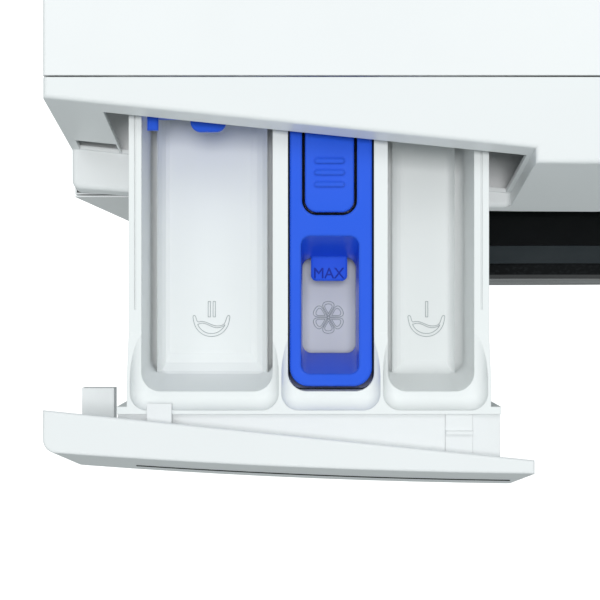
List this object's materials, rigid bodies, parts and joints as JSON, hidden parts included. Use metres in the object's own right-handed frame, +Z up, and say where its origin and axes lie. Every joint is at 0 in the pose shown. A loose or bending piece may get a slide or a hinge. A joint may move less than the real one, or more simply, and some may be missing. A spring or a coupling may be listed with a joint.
{
  "type": "front load washing machine",
  "caption": "Free-standing front load washing machine with a pull-out detergent drawer, hinged porthole door, belt-driven drum and service flap.",
  "frame": {"origin": "on the floor, at the centre of the rectangle of the four levelling feet", "axes": "+X to the right seen from the front, +Y from the door towards the back, +Z up"},
  "size_m": [0.598, 0.7403, 0.848],
  "materials": {
    "white_enamel": "gloss",
    "worktop_laminate": "gloss",
    "white_plastic": "satin",
    "tray_plastic": "satin",
    "blue_plastic": "satin",
    "silver_trim": "brushed",
    "galvanised_steel": "matte",
    "screw_steel": "satin",
    "grey_plastic": "matte",
    "black_plastic": "satin",
    "dark_bezel": "satin",
    "smoked_pane": "gloss",
    "clear_glass": "gloss",
    "grey_rubber": "matte",
    "belt_rubber": "matte",
    "counterweight_iron": "matte",
    "bright_steel": "polished",
    "lifter_plastic": "satin",
    "cast_aluminium": "cast"
  },
  "bodies": {
    "cabinet": {"side_panel_left": "white_enamel", "side_panel_right": "white_enamel", "rear_panel": "galvanised_steel", "rear_access_cover": "galvanised_steel", "rear_screws": "screw_steel", "front_panel": "white_enamel", "kick_plinth": "white_plastic", "base_pan": "grey_plastic", "levelling_feet": "black_plastic", "cross_rails": "galvanised_steel", "worktop": "worktop_laminate", "control_fascia": "white_plastic", "control_module": "grey_plastic", "display_window": "smoked_pane", "dispenser_housing": "grey_plastic", "dispenser_lid": "grey_plastic", "inlet_valve": "black_plastic", "inlet_hose": "grey_rubber", "dispenser_hose": "grey_rubber", "tub_front": "grey_plastic", "tub_rear": "grey_plastic", "door_seal": "grey_rubber", "front_counterweight": "counterweight_iron", "top_counterweight": "counterweight_iron", "suspension_springs": "screw_steel", "damper_cylinders": "black_plastic", "damper_rods": "bright_steel", "heater_element": "bright_steel", "drum_bearings": "bright_steel", "drive_belt": "belt_rubber", "motor_housing": "cast_aluminium", "sump_hose": "grey_rubber", "drain_pump": "grey_plastic", "drain_hose": "grey_rubber", "drain_outlet": "black_plastic", "door_lock": "black_plastic", "hinge_bracket": "galvanised_steel"},
    "drawer": {"drawer_tray": "tray_plastic", "softener_insert": "blue_plastic", "drawer_front": "white_plastic", "drawer_grip_trim": "silver_trim", "drawer_carrier": "white_plastic"},
    "release_tab": {"release_tab": "blue_plastic"},
    "liquid_flap": {"liquid_flap": "blue_plastic"},
    "door": {"door_outer_ring": "black_plastic", "door_trim_ring": "dark_bezel", "door_cover_pane": "smoked_pane", "door_inner_ring": "black_plastic", "door_glass": "clear_glass", "door_hinge_leaf": "galvanised_steel"},
    "latch_hook": {"latch_hook": "bright_steel"},
    "drum": {"drum_shell": "bright_steel", "drum_lifters": "lifter_plastic", "drum_spider": "cast_aluminium", "drum_pulley": "cast_aluminium"},
    "motor_rotor": {"motor_pulley": "cast_aluminium"},
    "programme_knob": {"programme_knob": "white_plastic"},
    "start_button": {"start_button": "white_plastic"},
    "service_flap": {"service_flap": "white_plastic"},
    "pump_filter": {"pump_filter": "black_plastic"}
  },
  "joints": [
    {"name": "drawer_slide", "type": "slide", "parent": "cabinet", "child": "drawer", "axis": [0, -1, 0], "range_m": [-0.159, 0]},
    {"name": "release_tab_press", "type": "hinge", "parent": "drawer", "child": "release_tab", "pos_m": [-0.152, -0.226, 0.8202], "axis": [1, 0, 0], "range_deg": [0, 7], "stiffness_Nm_per_rad": 0.4},
    {"name": "liquid_flap_hinge", "type": "hinge", "parent": "drawer", "child": "liquid_flap", "pos_m": [-0.2167, -0.233, 0.8175], "axis": [1, 0, 0], "range_deg": [0, 80]},
    {"name": "door_hinge", "type": "hinge", "parent": "cabinet", "child": "door", "pos_m": [-0.231, -0.292, 0.45], "axis": [0, 0, -1], "range_deg": [0, 150]},
    {"name": "latch_hook_pivot", "type": "hinge", "parent": "door", "child": "latch_hook", "pos_m": [0.194, -0.286, 0.45], "axis": [0, 0, 1], "range_deg": [0, 6], "stiffness_Nm_per_rad": 1},
    {"name": "drum_spin", "type": "hinge", "parent": "cabinet", "child": "drum", "pos_m": [0, 0.16, 0.45], "axis": [0, 1, 0], "continuous": true},
    {"name": "motor_spin", "type": "hinge", "parent": "cabinet", "child": "motor_rotor", "pos_m": [0.11, 0.16, 0.126], "axis": [0, 1, 0], "continuous": true},
    {"name": "programme_knob_turn", "type": "hinge", "parent": "cabinet", "child": "programme_knob", "pos_m": [0.062, -0.27382, 0.799], "axis": [0.0155, -0.9823, 0.1866], "continuous": true},
    {"name": "start_button_press", "type": "slide", "parent": "cabinet", "child": "start_button", "axis": [-0.0637, 0.9804, -0.1863], "range_m": [0, 0.0015], "stiffness_N_per_m": 400},
    {"name": "service_flap_hinge", "type": "hinge", "parent": "cabinet", "child": "service_flap", "pos_m": [0.205, -0.27375, 0.04325], "axis": [1, 0, 0], "range_deg": [0, 90]},
    {"name": "pump_filter_turn", "type": "hinge", "parent": "cabinet", "child": "pump_filter", "pos_m": [0.205, -0.26, 0.074], "axis": [0, -1, 0], "range_deg": [0, 90]}
  ],
  "couplings": [
    {"joint": "motor_spin", "follows": "drum_spin", "ratio": 10}
  ]
}
